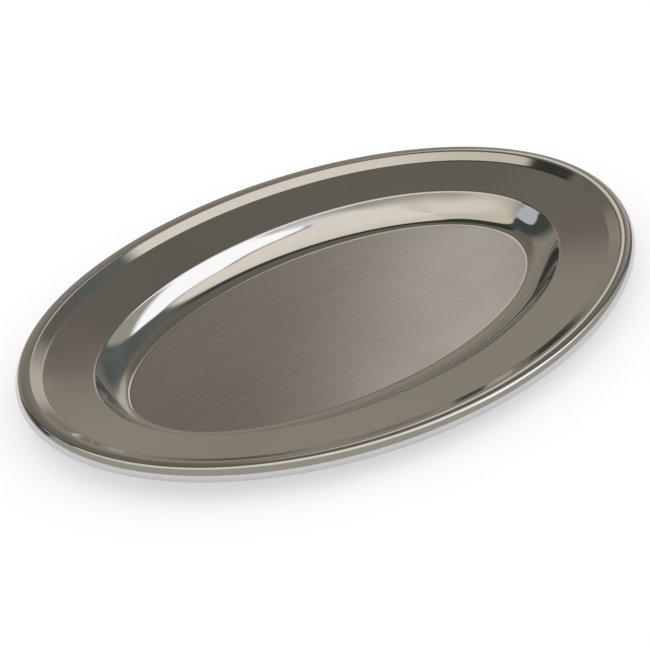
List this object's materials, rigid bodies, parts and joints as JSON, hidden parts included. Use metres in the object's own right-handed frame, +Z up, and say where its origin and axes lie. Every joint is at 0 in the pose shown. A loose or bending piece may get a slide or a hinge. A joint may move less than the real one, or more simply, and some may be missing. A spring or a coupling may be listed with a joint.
{
  "type": "oval serving tray",
  "caption": "Oval serving tray pressed from one stainless steel sheet, with a flat well, a sloping flange and a rolled rim that stands clear of the table.",
  "frame": {"origin": "middle of the tray's underside, on the surface that it stands on", "axes": "+X along the tray, +Y across it, +Z up out of the well"},
  "size_m": [0.4, 0.28, 0.0214],
  "materials": {
    "stainless_steel": "bright polished rim, flange and cove, satin brushed well floor"
  },
  "bodies": {
    "root": {"pressed_tray": "stainless_steel"}
  },
  "joints": []
}
